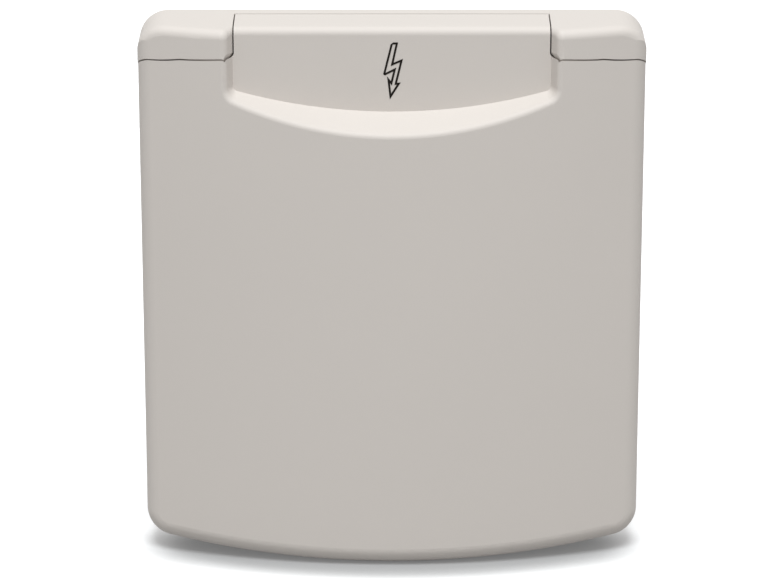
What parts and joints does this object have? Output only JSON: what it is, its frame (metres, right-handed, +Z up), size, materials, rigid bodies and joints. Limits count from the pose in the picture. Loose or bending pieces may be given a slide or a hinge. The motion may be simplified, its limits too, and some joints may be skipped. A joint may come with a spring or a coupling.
{
  "type": "outdoor socket",
  "caption": "Flush wall socket for outdoors: bowed rain lid hinged at the top, plug tub with a side-earth outlet, sealed wiring box and cable gland behind.",
  "frame": {"origin": "centre of the four wall screws, in the plane of the wall", "axes": "+X to the right seen from the front, +Y into the wall, +Z up"},
  "size_m": [0.135, 0.1075, 0.1498],
  "materials": {
    "cover_plastic": "fine moulded texture, warm light grey",
    "dark_plastic": "fine moulded texture, dark grey",
    "insert_plastic": "smooth moulding, anthracite",
    "carrier_plastic": "smooth moulding, cream",
    "rubber": "soft, black",
    "gasket": "closed-cell foam, black",
    "steel": "plain stainless",
    "magnet": "nickel plated",
    "brass": "plain",
    "gland_plastic": "smooth moulding, mid grey"
  },
  "bodies": {
    "housing": {"mounting_frame": "cover_plastic", "hinge_pin_left": "steel", "hinge_pin_right": "steel", "wall_gasket": "gasket", "lid_seal": "rubber", "catch_magnets": "magnet", "recess_tub": "dark_plastic", "tub_screws": "steel", "socket_insert": "insert_plastic", "insert_screws": "steel", "insert_gasket": "rubber", "contact_carrier": "carrier_plastic", "carrier_screws": "steel", "line_contact": "brass", "neutral_contact": "brass", "earth_bracket": "brass", "terminal_screws": "steel", "rear_cover": "dark_plastic", "cover_gasket": "rubber", "cover_screws": "steel", "gland_body": "gland_plastic", "gland_washer": "rubber", "gland_lock_nut": "gland_plastic", "gland_sleeve": "rubber", "gland_nut": "gland_plastic"},
    "cover": {"lid": "cover_plastic", "catch_plates": "steel"}
  },
  "joints": [
    {"name": "lid_hinge", "type": "hinge", "parent": "housing", "child": "cover", "pos_m": [0, -0.0162, 0.0716], "axis": [-1, 0, 0], "range_deg": [0, 170]}
  ]
}
